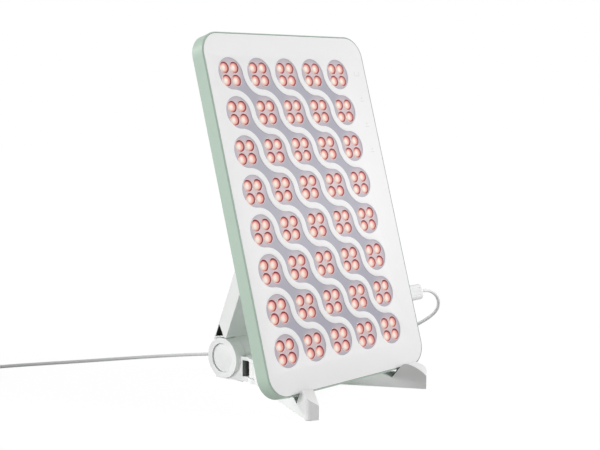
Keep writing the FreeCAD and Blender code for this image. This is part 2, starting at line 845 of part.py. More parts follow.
def head_pad():
    """Soft bar across the arm's head, which the panel's back leans on."""
    bar = head_pad_bar(head_pad_radius, head_pad_half)
    rims = [edge for edge in bar.Edges if edge.BoundBox.XLength < edge_break]
    return bar.makeChamfer(edge_break, rims)


# Cord: straight runs joined by tangent arcs

cord_route = [
    (142.4, -43.0, 73.8), (151.4, -41.4, 68.6), (158.6, -38.6, 61.6), (162.9, -34.2, 54.0),
    (163.6, -27.6, 46.8), (161.2, -18.6, 40.0), (155.6, -8.0, 32.8), (147.9, 4.6, 24.4),
    (138.4, 19.2, 14.2), (127.0, 35.6, 5.4), (113.6, 54.0, 1.6), (98.6, 73.8, 1.6),
    (85.4, 96.2, 1.6), (70.6, 118.6, 1.6), (51.4, 139.6, 1.6), (27.6, 160.2, 1.6),
    (-1.6, 180.4, 1.6), (-34.4, 199.2, 1.6), (-67.0, 216.6, 1.6), (-99.4, 235.4, 1.6),
    (-127.0, 251.2, 1.6), (-149.6, 262.0, 1.6), (-168.4, 270.2, 1.6)]


def cord_start():
    start_x = panel_width / 2 + plug_gap + plug_length + boot_length + cord_gap
    return panel_point(start_x, inlet_depth_centre, inlet_z)


def route_points():
    first = cord_start()
    points = [first, first + V(cord_lead, 0, 0)]
    points += [V(*place) for place in cord_route]
    return points


def arc_at(before, corner, after):
    """Tangent arc at a corner of the route, and its radius."""
    back = before - corner
    ahead = after - corner
    shorter = min(back.Length, ahead.Length)
    turn = math.pi - back.getAngle(ahead)
    trim = 0.45 * shorter
    radius = trim / math.tan(turn / 2)
    back.normalize()
    ahead.normalize()
    start = corner + back * trim
    end = corner + ahead * trim
    bisector = (back + ahead).normalize()
    middle = corner + bisector * (radius / math.cos(turn / 2) - radius)
    return start, middle, end, radius


def cord_tube():
    points = route_points()
    edges = []
    radii = []
    last = points[0]
    for before, corner, after in zip(points, points[1:], points[2:]):
        start, middle, end, radius = arc_at(before, corner, after)
        edges.append(Part.LineSegment(last, start).toShape())
        edges.append(Part.Arc(start, middle, end).toShape())
        radii.append(round(radius, 1))
        last = end
    edges.append(Part.LineSegment(last, points[-1]).toShape())
    path = Part.Wire(edges)
    direction = points[1] - points[0]
    ring = Part.Wire(Part.makeCircle(cord_radius, points[0], direction))
    tube = path.makePipe(Part.Face(ring))
    section = math.pi * cord_radius ** 2
    runs = [round((b - a).Length, 1) for a, b in zip(points, points[1:])]
    print("cord runs", runs)
    print("cord radii", radii)
    print("cord length", round(path.Length, 1), "volume", round(tube.Volume, 1),
          "section x length", round(section * path.Length, 1))
    return tube


def tail_points():
    """The short end of the cord that leaves the coil's rear side for the far plug."""
    z = plug_size[1] / 2
    start = V(coil_centre[0] - tail_offset[0], coil_centre[1] + tail_offset[1], z)
    return [start, start - V(tail_length, 0, 0)]


def cord_tail():
    start, end = tail_points()
    return cylinder(cord_radius, (end - start).Length, start, V(-1, 0, 0))


def cord_coil():
    """The put-away turns as one ring with slanted edges."""
    centre = V(coil_centre[0], coil_centre[1], coil_bottom)
    high = coil_top - coil_bottom
    outer = cylinder(coil_radius + coil_half_width, high, centre, Z_AXIS)
    ring = outer.cut(cylinder(coil_radius - coil_half_width, high, centre, Z_AXIS))
    rims = [edge for edge in ring.Edges if edge.BoundBox.ZLength < edge_break]
    return ring.makeChamfer(coil_chamfer, rims)


def coil_tie():
    """A soft strap round the bundle of turns, which leaves room for the ring's curve on its inner side."""
    blocks = []
    for grow in (tie_thick, 0):
        start = coil_radius - coil_half_width - tie_room - grow
        end = coil_radius + coil_half_width + press_clearance + grow
        low = coil_bottom - press_clearance - grow
        high = coil_top + press_clearance + grow
        blocks.append(box((start, -tie_width / 2, low), (end, tie_width / 2, high)))
    strap = blocks[0].cut(blocks[1])
    strap.rotate(V(0, 0, 0), Z_AXIS, tie_turn)
    strap.translate(V(coil_centre[0], coil_centre[1], 0))
    return strap


parts = [
    ("side_frame", lambda: lean_panel(side_frame())),
    ("face_seal", lambda: lean_panel(face_seal())),
    ("front_cover", lambda: lean_panel(front_cover())),
    ("lens_plate", lambda: lean_panel(lens_plate())),
    ("lens_domes", lambda: lean_panel(lens_domes())),
    ("lamp_board", lambda: lean_panel(lamp_board())),
    ("touch_board", lambda: lean_panel(touch_board())),
    ("control_board", lambda: lean_panel(control_board())),
    ("back_cover", lambda: lean_panel(back_cover())),
    ("back_screws", lambda: lean_panel(back_screws())),
    ("power_inlet", lambda: lean_panel(power_inlet())),
    ("power_plug", lambda: lean_panel(at_inlet(plug()))),
    ("plug_boot", lambda: lean_panel(at_inlet(plug_boot()))),
    ("hub_lower", hub_lower),
    ("hub_upper", hub_upper),
    ("hub_screws", hub_screws),
    ("leg_bumper", leg_bumper),
    ("leg_pins", leg_pins),
    ("hinge_pin", hinge_pin),
    ("hinge_cap_right", hinge_cap),
    ("hinge_cap_left", lambda: mirror_x(hinge_cap())),
    ("hinge_washers", hinge_washers),
    ("hub_pads", hub_pads),
    ("leg_right", leg_right),
    ("leg_left", lambda: mirror_x(leg_right())),
    ("foot_pads_right", lambda: foot_pads(1)),
    ("foot_pads_left", lambda: foot_pads(-1)),
    ("notch_liner_right", lambda: notch_liner(1)),
    ("notch_liner_left", lambda: notch_liner(-1)),
    ("support_arm", support_arm),
    ("arm_cover", arm_cover),
    ("arm_screws", arm_screws),
    ("head_pad", head_pad),
    ("cord", cord_tube),
    ("cord_coil", cord_coil),
    ("coil_tie", coil_tie),
    ("cord_tail", cord_tail),
    ("far_boot", lambda: at_far_end(plug_boot())),
    ("far_plug", lambda: at_far_end(plug())),
]


def main():
    os.makedirs("parts", exist_ok=True)
    for name, make in parts:
        shape = make()
        save(name, shape)
        print(name, "solids", len(shape.Solids), "valid", shape.isValid(), "volume", round(shape.Volume))


main()
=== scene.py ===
import math

import bpy
import bmesh
from mathutils import Matrix, Vector


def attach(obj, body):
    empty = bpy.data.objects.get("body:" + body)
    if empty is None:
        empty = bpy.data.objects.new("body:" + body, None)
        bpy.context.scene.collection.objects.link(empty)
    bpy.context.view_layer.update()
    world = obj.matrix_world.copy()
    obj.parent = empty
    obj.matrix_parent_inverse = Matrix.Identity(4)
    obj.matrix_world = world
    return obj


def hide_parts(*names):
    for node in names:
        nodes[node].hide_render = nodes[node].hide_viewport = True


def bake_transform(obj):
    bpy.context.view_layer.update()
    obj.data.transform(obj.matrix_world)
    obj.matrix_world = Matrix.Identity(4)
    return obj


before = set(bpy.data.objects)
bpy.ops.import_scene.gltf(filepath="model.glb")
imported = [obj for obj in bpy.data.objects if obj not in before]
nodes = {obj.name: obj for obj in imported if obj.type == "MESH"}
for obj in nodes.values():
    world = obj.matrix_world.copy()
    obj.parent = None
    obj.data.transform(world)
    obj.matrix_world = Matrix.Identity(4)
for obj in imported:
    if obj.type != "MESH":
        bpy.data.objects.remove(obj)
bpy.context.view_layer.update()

scene = bpy.context.scene
MM = 0.001

# Sizes in millimetres, the same as in the part's source
PANEL_WIDTH = 201.2
PANEL_HEIGHT = 307.65
PANEL_CORNER = 19.5
PANEL_LEAN = math.radians(15.78)
PANEL_CENTRE = (0.5, -25.78, 164.76)
FRAME_WALL = 1.0
SEAL_WIDTH = 0.4
PITCH = 33.5
COLUMNS = 5
ROWS = 8
FIELD = (-6.4, 0.67)
WINDOW_RADIUS = 13.9
COVER_THICK = 1.0
DOME_PITCH = PITCH / 3
DOME_RADIUS = 5.0
PLATE_DEPTH = 0.35
DOME_HEIGHT = 1.75
KEY_X = 87.5
KEY_Z = (118.7, 94.7, 70.7, 46.7)
CORD_RADIUS = 1.6
COIL_CENTRE = (-184.1, 251.3)


def link(obj):
    """Put an object into the scene."""
    scene.collection.objects.link(obj)
    return obj


def panel_matrix():
    """From the panel's own upright frame, in millimetres, to the row frame in metres."""
    turn = Matrix.Rotation(-PANEL_LEAN, 4, "X")
    move = Matrix.Translation([value * MM for value in PANEL_CENTRE])
    return move @ turn @ Matrix.Scale(MM, 4)


PANEL = panel_matrix()


# Camera at the photograph's viewing angle

CAMERA_PLACE = (-0.79152, -0.7434, 0.26697)
CAMERA_AHEAD = (0.72627, 0.67841, -0.11083)
CAMERA_LENS = 74.3
SENSOR_WIDTH = 36.0


def make_camera():
    """The photo's view: where the camera stands, where it looks and how wide it sees."""
    data = bpy.data.cameras.new("view_camera")
    data.sensor_fit = "HORIZONTAL"
    data.sensor_width = SENSOR_WIDTH
    data.lens = CAMERA_LENS
    data.clip_start = 0.05
    data.clip_end = 60.0
    camera = link(bpy.data.objects.new("view_camera", data))
    camera.location = CAMERA_PLACE
    camera.rotation_euler = Vector(CAMERA_AHEAD).to_track_quat("-Z", "Y").to_euler()
    scene.camera = camera


make_camera()


# Materials

def new_material(name):
    """A material with one principled shader. Returns the material, its node tree and the shader."""
    material = bpy.data.materials.new(name)
    material.use_nodes = True
    tree = material.node_tree
    tree.nodes.clear()
    output = tree.nodes.new("ShaderNodeOutputMaterial")
    shader = tree.nodes.new("ShaderNodeBsdfPrincipled")
    tree.links.new(shader.outputs["BSDF"], output.inputs["Surface"])
    return material, tree, shader


def object_coords(tree, scale=(1, 1, 1)):
    """Places in the object's own metres, stretched by a scale."""
    coords = tree.nodes.new("ShaderNodeTexCoord")
    mapping = tree.nodes.new("ShaderNodeMapping")
    mapping.inputs["Scale"].default_value = scale
    tree.links.new(coords.outputs["Object"], mapping.inputs["Vector"])
    return mapping.outputs["Vector"]


def noise_of(tree, vector, scale, detail):
    """Cloudy noise from 0 to 1."""
    node = tree.nodes.new("ShaderNodeTexNoise")
    node.inputs["Scale"].default_value = scale
    node.inputs["Detail"].default_value = detail
    tree.links.new(vector, node.inputs["Vector"])
    return node.outputs["Fac"]


def ramp_of(tree, value, stops):
    """Colours along a value: stops are (place, colour)."""
    node = tree.nodes.new("ShaderNodeValToRGB")
    elements = node.color_ramp.elements
    while len(elements) < len(stops):
        elements.new(0.5)
    for element, (place, colour) in zip(elements, stops):
        element.position = place
        element.color = (*colour, 1.0)
    tree.links.new(value, node.inputs["Fac"])
    return node.outputs["Color"]


def range_of(tree, value, low, high):
    """A value from 0 to 1 spread between two limits."""
    node = tree.nodes.new("ShaderNodeMapRange")
    node.inputs["To Min"].default_value = low
    node.inputs["To Max"].default_value = high
    tree.links.new(value, node.inputs["Value"])
    return node.outputs["Result"]


def bump_of(tree, shader, value, strength, distance):
    """Fine unevenness of a surface, its distance in metres."""
    node = tree.nodes.new("ShaderNodeBump")
    node.inputs["Strength"].default_value = strength
    node.inputs["Distance"].default_value = distance
    tree.links.new(value, node.inputs["Height"])
    tree.links.new(node.outputs["Normal"], shader.inputs["Normal"])


def shade(colour, factor):
    """A colour made darker or lighter, no channel above 1."""
    return tuple(min(1.0, channel * factor) for channel in colour)


GRAIN_SCALE = 1400.0


def plastic(name, colour, roughness=0.42, grain=0.05, spread=0.03, coat=0.0):
    """Moulded plastic: a fine spark-eroded grain, faint cloudy colour and uneven gloss."""
    material, tree, shader = new_material(name)
    vector = object_coords(tree)
    cloud = noise_of(tree, vector, 22.0, 4.0)
    stops = [(0.3, shade(colour, 1 - spread)), (0.7, shade(colour, 1 + spread))]
    tree.links.new(ramp_of(tree, cloud, stops), shader.inputs["Base Color"])
    fine = noise_of(tree, vector, GRAIN_SCALE, 2.0)
    gloss = noise_of(tree, vector, 120.0, 3.0)
    tree.links.new(range_of(tree, gloss, roughness - 0.05, roughness + 0.06), shader.inputs["Roughness"])
    bump_of(tree, shader, fine, grain, 0.0002)
    shader.inputs["Coat Weight"].default_value = coat
    shader.inputs["Coat Roughness"].default_value = 0.15
    return material


def rubber(name, colour):
    """Dull rubber with fine pores and a little dust."""
    material, tree, shader = new_material(name)
    vector = object_coords(tree)
    dust = noise_of(tree, vector, 60.0, 5.0)
    stops = [(0.35, shade(colour, 0.9)), (0.75, shade(colour, 1.12))]
    tree.links.new(ramp_of(tree, dust, stops), shader.inputs["Base Color"])
    pores = noise_of(tree, vector, 2600.0, 1.0)
    tree.links.new(range_of(tree, dust, 0.62, 0.8), shader.inputs["Roughness"])
    bump_of(tree, shader, pores, 0.12, 0.0002)
    return material


def metal(name, colour, roughness):
    """Bare metal with a fine uneven gloss."""
    material, tree, shader = new_material(name)
    vector = object_coords(tree)
    lines = noise_of(tree, vector, 900.0, 2.0)
    stops = [(0.3, shade(colour, 0.93)), (0.7, shade(colour, 1.05))]
    tree.links.new(ramp_of(tree, lines, stops), shader.inputs["Base Color"])
    tree.links.new(range_of(tree, lines, roughness - 0.06, roughness + 0.08), shader.inputs["Roughness"])
    bump_of(tree, shader, lines, 0.05, 0.0001)
    shader.inputs["Metallic"].default_value = 1.0
    return material


def mint_metal():
    """Satin mint paint on a drawn band: faint lines along the band and a soft orange-peel coat."""
    colour = (0.467, 0.598, 0.501)
    material, tree, shader = new_material("mint_paint")
    vector = object_coords(tree, (1, 1, 0.08))
    lines = noise_of(tree, vector, 700.0, 2.0)
    cloud = noise_of(tree, object_coords(tree), 9.0, 3.0)
    stops = [(0.3, shade(colour, 0.965)), (0.7, shade(colour, 1.03))]
    tree.links.new(ramp_of(tree, cloud, stops), shader.inputs["Base Color"])
    tree.links.new(range_of(tree, lines, 0.44, 0.54), shader.inputs["Roughness"])
    peel = noise_of(tree, object_coords(tree), 420.0, 2.0)
    bump_of(tree, shader, peel, 0.04, 0.0003)
    return material


LENS_BODY = 0.42
LENS_GLOW = 0.56
LENS_ROUGHNESS = 0.22
LENS_GLOSS = 0.16
SWIRL_SHARE = 0.15
# Lens tones from the painted highlight through the red of the lens to the painted shade at its rim
LENS_TONES = [
    (0.0, (1.0, 0.95, 0.87)), (0.10, (1.0, 0.89, 0.80)), (0.20, (1.0, 0.74, 0.64)),
    (0.31, (0.97, 0.55, 0.46)), (0.43, (0.86, 0.37, 0.32)), (0.56, (0.70, 0.27, 0.25)),
    (0.70, (0.50, 0.14, 0.14)), (0.9, (0.22, 0.02, 0.03)),
]


def attribute_of(tree, name):
    """A value that the mesh carries at its corners."""
    node = tree.nodes.new("ShaderNodeAttribute")
    node.attribute_name = name
    return node.outputs["Fac"]


def mix_of(tree, blend, factor):
    """A colour mix of one kind. Its two colours are still to be linked."""
    node = tree.nodes.new("ShaderNodeMix")
    node.data_type = "RGBA"
    node.blend_type = blend
    node.inputs["Factor"].default_value = factor
    return node


def lens_material():
    """Red lens over a lit emitter, its colour and glow carrying painted light: a pale painted highlight in
    the middle, pink body, painted deep red shade at the foot.
    """
    material, tree, shader = new_material("lens_red")
    painted_tone = attribute_of(tree, "painted_lens_shading")
    body = ramp_of(tree, painted_tone, [(place, shade(tone, LENS_BODY)) for place, tone in LENS_TONES])
    swirl = noise_of(tree, object_coords(tree), 260.0, 2.0)
    mix = mix_of(tree, "SOFT_LIGHT", SWIRL_SHARE)
    tree.links.new(body, mix.inputs["A"])
    stops = [(0.3, (0.42, 0.42, 0.42)), (0.7, (0.58, 0.58, 0.58))]
    tree.links.new(ramp_of(tree, swirl, stops), mix.inputs["B"])
    tree.links.new(mix.outputs["Result"], shader.inputs["Base Color"])
    # The glow of the lit lens follows the same painted highlight and shade
    glow = ramp_of(tree, painted_tone, [(place, shade(tone, LENS_GLOW)) for place, tone in LENS_TONES])
    tree.links.new(glow, shader.inputs["Emission Color"])
    shader.inputs["Emission Strength"].default_value = 1.0
    shader.inputs["Roughness"].default_value = LENS_ROUGHNESS
    shader.inputs["Specular IOR Level"].default_value = LENS_GLOSS
    return material


def lilac_plate():
    """Satin grey-lilac plate behind the windows, with painted light of the lit lenses: warmer and lighter
    round them.
    """
    # Painted light of the lenses: warmer, lighter colour near each cluster, the plate's own grey-lilac far
    # from it
    near = (0.66, 0.53, 0.55)
    far = (0.385, 0.378, 0.445)
    material, tree, shader = new_material("lilac_plate")
    vector = object_coords(tree)
    distance = attribute_of(tree, "painted_glow_share")
    cloud = noise_of(tree, vector, 14.0, 3.0)
    mix = mix_of(tree, "MULTIPLY", 1.0)
    stops = [(0.3, (0.96, 0.96, 0.96)), (0.7, (1.0, 1.0, 1.0))]
    tree.links.new(ramp_of(tree, cloud, stops), mix.inputs["B"])
    tree.links.new(ramp_of(tree, distance, [(0.5, near), (1.0, far)]), mix.inputs["A"])
    tree.links.new(mix.outputs["Result"], shader.inputs["Base Color"])
    flakes = noise_of(tree, vector, 1800.0, 2.0)
    tree.links.new(range_of(tree, flakes, 0.3, 0.46), shader.inputs["Roughness"])
    bump_of(tree, shader, flakes, 0.06, 0.0002)
    return material


def board(name, colour):
    """Circuit board: solder-mask colour with a faint weave of glass fibre under it."""
    material, tree, shader = new_material(name)
    vector = object_coords(tree)
    weave = tree.nodes.new("ShaderNodeTexWave")
    weave.inputs["Scale"].default_value = 300.0
    tree.links.new(vector, weave.inputs["Vector"])
    stops = [(0.2, shade(colour, 0.92)), (0.8, shade(colour, 1.06))]
    tree.links.new(ramp_of(tree, weave.outputs["Fac"], stops), shader.inputs["Base Color"])
    tree.links.new(range_of(tree, weave.outputs["Fac"], 0.3, 0.4), shader.inputs["Roughness"])
    return material


WHITE = (0.86, 0.865, 0.86)

# Triangular hollow in the arm's sides: its middle in Y and Z, its reach, its floor and the side above it

SCOOP_MIDDLE = (75.84, 43.17)
SCOOP_REACH = 7.8
SCOOP_FLOOR = 15.8
ARM_SIDE = 22.9
# Painted shade for the hollow. The same mask also darkens two strips of the arm's back face beside it
SCOOP_PAINTED_SHADE = (0.10, 0.11, 0.10, 1.0)


def math_of(tree, operation, first, second):
    """One sum on two values, each a socket or a number."""
    node = tree.nodes.new("ShaderNodeMath")
    node.operation = operation
    for socket, value in zip(node.inputs, (first, second)):
        if isinstance(value, float):
            socket.default_value = value
        else:
            tree.links.new(value, socket)
    return node.outputs[0]


def within(tree, value, low, high):
    """1 where a value lies between two limits, 0 elsewhere."""
    above = math_of(tree, "GREATER_THAN", value, low)
    below = math_of(tree, "LESS_THAN", value, high)
    return math_of(tree, "MULTIPLY", above, below)


def arm_plastic():
    """The stand's white plastic, with painted shade in the triangular hollow by the knuckle."""
    material = plastic("arm_white_painted_shade", WHITE, 0.38, 0.06, 0.015)
    tree = material.node_tree
    shader = next(node for node in tree.nodes if node.type == "BSDF_PRINCIPLED")
    white = shader.inputs["Base Color"].links[0].from_socket
    coords = tree.nodes.new("ShaderNodeTexCoord")
    parts = tree.nodes.new("ShaderNodeSeparateXYZ")
    tree.links.new(coords.outputs["Object"], parts.inputs[0])
    side = math_of(tree, "ABSOLUTE", parts.outputs["X"], 0.0)
    flat = tree.nodes.new("ShaderNodeCombineXYZ")
    tree.links.new(parts.outputs["Y"], flat.inputs["Y"])
    tree.links.new(parts.outputs["Z"], flat.inputs["Z"])
    away = tree.nodes.new("ShaderNodeVectorMath")
    away.operation = "DISTANCE"
    away.inputs[1].default_value = (0, SCOOP_MIDDLE[0] * MM, SCOOP_MIDDLE[1] * MM)
    tree.links.new(flat.outputs[0], away.inputs[0])
    # Painted shade: the dark colour goes where the hollow lies
    deep = within(tree, side, SCOOP_FLOOR * MM, ARM_SIDE * MM)
    near = math_of(tree, "LESS_THAN", away.outputs["Value"], SCOOP_REACH * MM)
    mix = mix_of(tree, "MIX", 0.0)
    tree.links.new(math_of(tree, "MULTIPLY", deep, near), mix.inputs["Factor"])
    tree.links.new(white, mix.inputs["A"])
    mix.inputs["B"].default_value = SCOOP_PAINTED_SHADE
    tree.links.new(mix.outputs["Result"], shader.inputs["Base Color"])
    return material


# One material for each kind of surface, and the kind that each node has

MAT = {
    "mint": mint_metal(),
    "arm": arm_plastic(),
    "seal": plastic("seal_grey", (0.16, 0.19, 0.18), 0.5, 0.02),
    "face": plastic("face_white", (0.86, 0.855, 0.86), 0.46, 0.01, 0.004),
    "plate": lilac_plate(),
    "lens": lens_material(),
    "ring": plastic("lens_ring", (0.93, 0.86, 0.87), 0.3, 0.01, 0.01, coat=0.5),
    "mark": plastic("key_mark", (0.70, 0.70, 0.71), 0.4, 0.01, 0.01),
    "board_white": board("board_white", (0.85, 0.85, 0.83)),
    "board_green": board("board_green", (0.05, 0.22, 0.10)),
    "mint_back": plastic("mint_plastic", (0.60, 0.73, 0.64), 0.48, 0.12, 0.02),
    "stand": plastic("stand_white", WHITE, 0.38, 0.06, 0.015),
    "cap": plastic("cap_white", WHITE, 0.34, 0.03, 0.01),
    "plug": plastic("plug_white", (0.85, 0.85, 0.85), 0.4, 0.05, 0.02),
    "inlet": plastic("inlet_grey", (0.28, 0.28, 0.29), 0.5, 0.06),
    "cord": plastic("cord_white", (0.88, 0.88, 0.88), 0.45, 0.04, 0.02),
    "tie": plastic("tie_grey", (0.25, 0.26, 0.27), 0.7, 0.2),
    "pad": rubber("pad_grey", (0.18, 0.18, 0.19)),
    # Near-black rubber of the leg bumper and notch liners: real rubber pieces, made this dark to stand in
    # for the shade in the slot and the notches, so partly painted shade
    "liner": rubber("liner_dark_painted_shade", (0.035, 0.04, 0.037)),
    "screw": metal("screw_steel", (0.62, 0.62, 0.63), 0.3),
    "pin": metal("pin_steel", (0.6, 0.6, 0.61), 0.28),
    "washer": plastic("washer_nylon", (0.75, 0.74, 0.70), 0.4),
}

NODE_MATERIALS = {
    "side_frame": "mint", "face_seal": "seal", "front_cover": "face", "lens_plate": "plate",
    "lens_domes": "lens", "lamp_board": "board_white", "touch_board": "board_green",
    "control_board": "board_green", "back_cover": "mint_back", "back_screws": "screw",
    "power_inlet": "inlet", "power_plug": "plug", "plug_boot": "cord",
    "hub_lower": "stand", "hub_upper": "stand", "hub_screws": "screw", "hub_pads": "pad",
    "hinge_pin": "pin", "hinge_washers": "washer", "hinge_cap_right": "cap", "hinge_cap_left": "cap",
    "leg_pins": "pin", "leg_bumper": "liner", "leg_right": "stand", "leg_left": "stand",
    "foot_pads_right": "pad", "foot_pads_left": "pad",
    "notch_liner_right": "liner", "notch_liner_left": "liner",
    "support_arm": "arm", "arm_cover": "stand", "arm_screws": "screw", "head_pad": "pad",
    "cord": "cord", "cord_coil": "cord", "coil_tie": "tie", "cord_tail": "cord",
    "far_boot": "cord", "far_plug": "plug",
}


def paint(obj, material):
    """Give an object one material."""
    obj.data.materials.clear()
    obj.data.materials.append(material)


def dress_nodes():
    """Give every node its own kind of surface."""
    for name, key in NODE_MATERIALS.items():
        node = nodes[name]
        for slot in node.material_slots:
            slot.material = MAT[key]


SOFT_SEGMENTS = 3
SOFT_ANGLE = math.radians(28)


def soften(name, width):
    """Small rounded edges on a CAD piece, by a modifier alone."""
    node = nodes[name]
    bevel = node.modifiers.new("soft_edges", "BEVEL")
    bevel.width = width * MM
    bevel.segments = SOFT_SEGMENTS
    bevel.limit_method = "ANGLE"
    bevel.angle_limit = SOFT_ANGLE
    bevel.harden_normals = True


dress_nodes()


# Lead: one line from the plug, round to the floor, into the put-away turns and on to the far plug

ROUTE = [
    (125.3, -43.778, 76.805), (132.7, -43.778, 76.805),
    (142.4, -43.0, 73.8), (151.4, -41.4, 68.6), (158.6, -38.6, 61.6), (162.9, -34.2, 54.0),
    (163.6, -27.6, 46.8), (161.2, -18.6, 40.0), (155.6, -8.0, 32.8), (147.9, 4.6, 24.4),
    (138.4, 19.2, 14.2), (127.0, 35.6, 5.4), (113.6, 54.0, 1.6), (98.6, 73.8, 1.6),
    (85.4, 96.2, 1.6), (70.6, 118.6, 1.6), (51.4, 139.6, 1.6), (27.6, 160.2, 1.6),
    (-1.6, 180.4, 1.6), (-34.4, 199.2, 1.6), (-67.0, 216.6, 1.6), (-99.4, 235.4, 1.6),
    (-127.0, 251.2, 1.6), (-154.0, 264.0, 1.6)]
TURNS_BELOW = (23.4, 20.1, 16.8, 13.5)
LAYERS = (1.7, 5.0)
POINTS_PER_TURN = 12
SPLINE_STEPS = 6
TUBE_SIDES = 14
FIRST_ANGLE = 90.0
SIDESTEP = 0.25
SIDESTEP_START = 0.75
UPPER_SIDESTEP_START = 0.5
TAIL = [(-8.0, 23.4, 4.8), (-16.0, 23.3, 4.5), (-24.0, 23.2, 4.3), (-30.0, 23.2, 4.2)]


def coil_points():
    """Two flat layers of turns: inwards below, outwards above, with a short sidestep in each turn."""
    inset = math.cos(math.pi / POINTS_PER_TURN)
    radii = list(TURNS_BELOW) + list(reversed(TURNS_BELOW))
    count = len(radii)
    points = []
    for index in range(count * POINTS_PER_TURN + 1):
        turn, step = divmod(index, POINTS_PER_TURN)
        share = step / POINTS_PER_TURN
        here = radii[min(turn, count - 1)]
        following = radii[min(turn + 1, count - 1)]
        upper = turn >= len(TURNS_BELOW)
        start = UPPER_SIDESTEP_START if upper else SIDESTEP_START
        blend = min(1.0, max(0.0, (share - start) / SIDESTEP))
        radius = here + (following - here) * blend
        height = LAYERS[1] if upper else LAYERS[0]
        if turn == len(TURNS_BELOW) - 1:
            climb = min(1.0, max(0.0, (share - SIDESTEP_START) / SIDESTEP))
            height = LAYERS[0] + (LAYERS[1] - LAYERS[0]) * climb
        angle = math.radians(FIRST_ANGLE + 360 * (turn + share))
        x = COIL_CENTRE[0] + radius / inset * math.cos(angle)
        y = COIL_CENTRE[1] + radius / inset * math.sin(angle)
        points.append((x, y, height))
    return points


def tail_points():
    """The short end that leaves the coil for the far plug."""
    return [(COIL_CENTRE[0] + x, COIL_CENTRE[1] + y, z) for x, y, z in TAIL]


def lead_line():
    """The lead's centre line as points read from one smooth spline."""
    route = ROUTE + coil_points() + tail_points()
    curve = bpy.data.curves.new("lead_line", "CURVE")
    curve.dimensions = "3D"
    curve.resolution_u = SPLINE_STEPS
    spline = curve.splines.new("NURBS")
    spline.points.add(len(route) - 1)
    for point, place in zip(spline.points, route):
        point.co = (*[value * MM for value in place], 1.0)
    spline.order_u = 3
    spline.use_endpoint_u = True
    holder = link(bpy.data.objects.new("lead_line", curve))
    bpy.context.view_layer.update()
    mesh = bpy.data.meshes.new_from_object(holder.evaluated_get(bpy.context.evaluated_depsgraph_get()))
    places = [vertex.co.copy() for vertex in mesh.vertices]
    bpy.data.objects.remove(holder)
    bpy.data.meshes.remove(mesh)
    return places


def swept_tube(name, places, radius):
    """A closed round tube along a line of points."""
    mesh = bpy.data.meshes.new(name)
    work = bmesh.new()
    tangent = (places[1] - places[0]).normalized()
    side = tangent.orthogonal().normalized()
    rings = []
    for index, place in enumerate(places):
        ahead = places[min(index + 1, len(places) - 1)] - places[max(index - 1, 0)]
        ahead.normalize()
        side = (side - ahead * side.dot(ahead)).normalized()
        other = ahead.cross(side)
        ring = []
        for step in range(TUBE_SIDES):
            turn = math.tau * step / TUBE_SIDES
            ring.append(work.verts.new(place + (side * math.cos(turn) + other * math.sin(turn)) * radius))
        rings.append(ring)
    for near, far in zip(rings, rings[1:]):
        for step in range(TUBE_SIDES):
            after = (step + 1) % TUBE_SIDES
            work.faces.new((near[step], near[after], far[after], far[step]))
    work.faces.new(list(reversed(rings[0])))
    work.faces.new(rings[-1])
    for face in work.faces:
        face.smooth = len(face.verts) == 4
    work.to_mesh(mesh)
    work.free()
    return link(bpy.data.objects.new(name, mesh))


def line_length(places):
    """Length along a line of points."""
    return sum((b - a).length for a, b in zip(places, places[1:]))


def make_lead():
    """The whole lead as one tube, from the panel's plug to the far plug."""
    places = lead_line()
    tube = swept_tube("lead_tube", places, CORD_RADIUS * MM)
    paint(tube, MAT["cord"])
    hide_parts("cord", "cord_coil", "cord_tail")
    print("lead length", round(line_length(places), 4))
    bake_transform(tube)


make_lead()


# Panel face: the cover with its chains of windows, the domes, their rings and the touch marks

def arc(centre, radius, start, end, steps):
    """Points on an arc from one angle to another, both in degrees."""
    points = []
    for step in range(steps + 1):
        turn = math.radians(start + (end - start) * step / steps)
        points.append((centre[0] + radius * math.cos(turn), centre[1] + radius * math.sin(turn)))
    return points


def cluster(column, row):
    """Middle of a cluster of four lenses, columns from the left and rows from the top."""
    x = FIELD[0] + (column - (COLUMNS - 1) / 2) * PITCH
    z = FIELD[1] + ((ROWS - 1) / 2 - row) * PITCH
    return x, z


def rounded_outline(width, height, radius, steps=14, centre=(0.0, 0.0)):
    """Closed outline of a rectangle with rounded corners."""
    points = []
    for sx, sz, start in ((1, 1, 0), (-1, 1, 90), (-1, -1, 180), (1, -1, 270)):
        middle = (centre[0] + sx * (width / 2 - radius), centre[1] + sz * (height / 2 - radius))
        points += arc(middle, radius, start, start + 90, steps)
    return points


WINDOW_STEPS = 12


def chain_outline(column, row):
    """Closed outline of one slanting chain of windows, in the order up its right side and back."""
    length = min(COLUMNS - column, ROWS - row)
    hollow = PITCH - WINDOW_RADIUS
    centres = [cluster(column + index, row + index) for index in range(length)]
    points = []
    for index, (x, z) in enumerate(centres):
        last = index == length - 1
        start = 180 if index == 0 else 90
        end = -90 if last else 0
        points += arc((x, z), WINDOW_RADIUS, start, end, WINDOW_STEPS * (start - end) // 90)
        if not last:
            points += arc((x + PITCH, z), hollow, 180, 270, WINDOW_STEPS)[1:-1]
    for index in range(length - 1, -1, -1):
        last = index == length - 1
        points += arc(centres[index], WINDOW_RADIUS, 270, 180, WINDOW_STEPS)[1 if last else 0:]
        if index > 0:
            above = centres[index - 1]
            points += arc((above[0], above[1] - PITCH), hollow, 0, 90, WINDOW_STEPS)[1:-1]
    return points[:-1]


BEVEL_STEPS = 3


